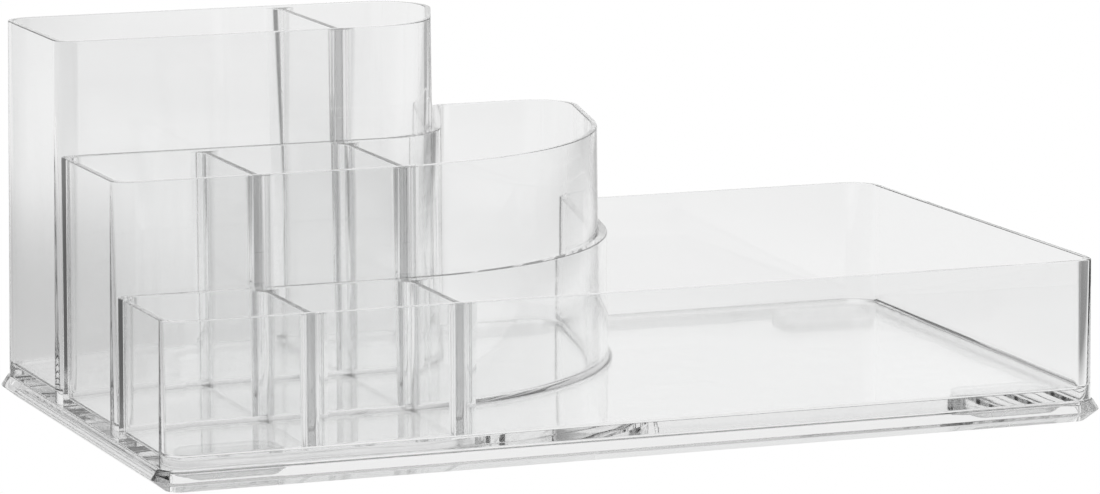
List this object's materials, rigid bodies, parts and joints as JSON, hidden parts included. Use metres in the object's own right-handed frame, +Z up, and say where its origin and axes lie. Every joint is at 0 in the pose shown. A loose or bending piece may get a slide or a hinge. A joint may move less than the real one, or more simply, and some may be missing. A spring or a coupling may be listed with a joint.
{
  "type": "makeup organizer",
  "caption": "Clear stepped countertop organizer with nested open bins, divided wells and a wide curved tray on a bevelled base plate with soft feet.",
  "frame": {"origin": "on the table under the middle of the base, at the bottom of the feet", "axes": "+X along the long front towards the open tray, +Y from the low front to the tall back, +Z up"},
  "size_m": [0.3308, 0.1898, 0.1296],
  "materials": {
    "clear_shell": "colourless, clear, polished",
    "clear_foot": "colourless, clear, soft"
  },
  "bodies": {
    "root": {"base_plate": "clear_shell", "rear_bin": "clear_shell", "middle_bin": "clear_shell", "tray_bin": "clear_shell", "rear_divider_1": "clear_shell", "middle_divider_1": "clear_shell", "middle_divider_2": "clear_shell", "tray_divider_1": "clear_shell", "tray_divider_2": "clear_shell", "front_left_foot": "clear_foot", "front_right_foot": "clear_foot", "back_left_foot": "clear_foot", "back_right_foot": "clear_foot"}
  },
  "joints": []
}
